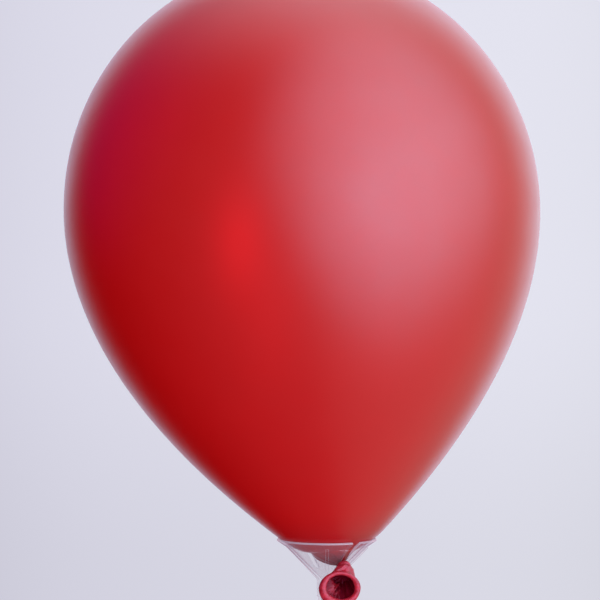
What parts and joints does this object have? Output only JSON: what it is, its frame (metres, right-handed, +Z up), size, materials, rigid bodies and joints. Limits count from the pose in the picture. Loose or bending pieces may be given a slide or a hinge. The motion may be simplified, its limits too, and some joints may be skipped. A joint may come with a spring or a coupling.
{
  "type": "latex balloon",
  "caption": "Air-filled latex balloon held by its neck in the slot of a clear funnel cup, on a clear tube stick, with the knot and rolled mouth hanging outside the cup.",
  "frame": {"origin": "centre of the stick's bottom end", "axes": "+Z up along the stick, front faces -Y, the cup's slot that holds the neck faces the front right"},
  "size_m": [0.2541, 0.2541, 0.6496],
  "materials": {
    "red_latex": "satin",
    "clear_cup": "gloss",
    "clear_stick": "gloss"
  },
  "bodies": {
    "stick": {"stick": "clear_stick"},
    "cup": {"cup": "clear_cup", "balloon_neck": "red_latex"},
    "balloon": {"balloon_skin": "red_latex"},
    "knot": {"neck_knot": "red_latex"},
    "mouth": {"mouth_funnel": "red_latex", "rolled_lip": "red_latex"}
  },
  "joints": [
    {"name": "cup_turn", "type": "hinge", "parent": "stick", "child": "cup", "pos_m": [0, 0, 0.31], "axis": [0, 0, 1], "continuous": true},
    {"name": "balloon_lean", "type": "hinge", "parent": "cup", "child": "balloon", "pos_m": [0, 0, 0.37652], "axis": [0.809, 0.5878, 0], "range_deg": [-2, 14], "stiffness_Nm_per_rad": 0.2},
    {"name": "knot_twist", "type": "hinge", "parent": "cup", "child": "knot", "pos_m": [0.00788, -0.01084, 0.3314], "axis": [0.4156, -0.5721, -0.7071], "range_deg": [-60, 60], "stiffness_Nm_per_rad": 0.002},
    {"name": "mouth_flex", "type": "hinge", "parent": "knot", "child": "mouth", "pos_m": [0.01054, -0.0145, 0.32687], "axis": [-0.2667, 0.6666, -0.6961], "range_deg": [-35, 15], "stiffness_Nm_per_rad": 0.002}
  ]
}
